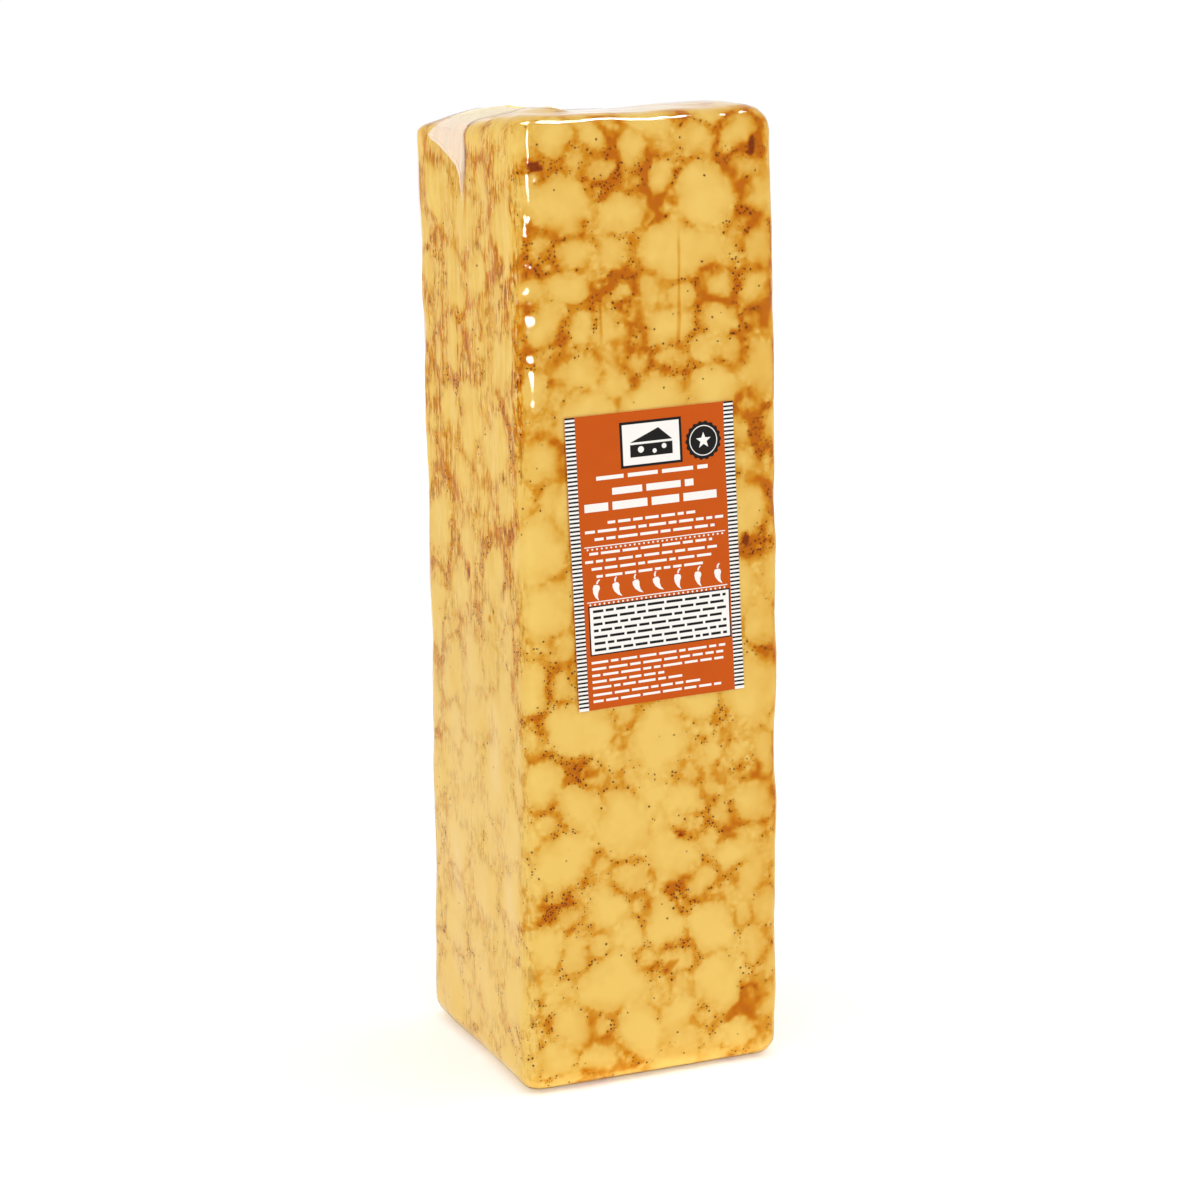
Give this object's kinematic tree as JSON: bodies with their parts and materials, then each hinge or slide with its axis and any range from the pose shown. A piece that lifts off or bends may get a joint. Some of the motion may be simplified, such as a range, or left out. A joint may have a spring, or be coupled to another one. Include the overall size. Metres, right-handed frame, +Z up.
{
  "type": "cheddar block",
  "caption": "Tall square-sided loaf of chilli-veined cheddar in skin-tight clear film, standing on its end, with a paper label on its front.",
  "frame": {"origin": "middle of the flat underside, on the surface the loaf stands on", "axes": "+Z up along the loaf's length, -Y out of the labelled front, +X to the right seen from the front"},
  "size_m": [0.0894, 0.0905, 0.3037],
  "materials": {
    "wrapped_cheese": "pale yellow curds in orange-brown chilli veins under glossy clear film",
    "label_paper": "satin orange printed paper with black and white striped side bars"
  },
  "bodies": {
    "root": {"loaf": "wrapped_cheese", "label": "label_paper"}
  },
  "joints": []
}
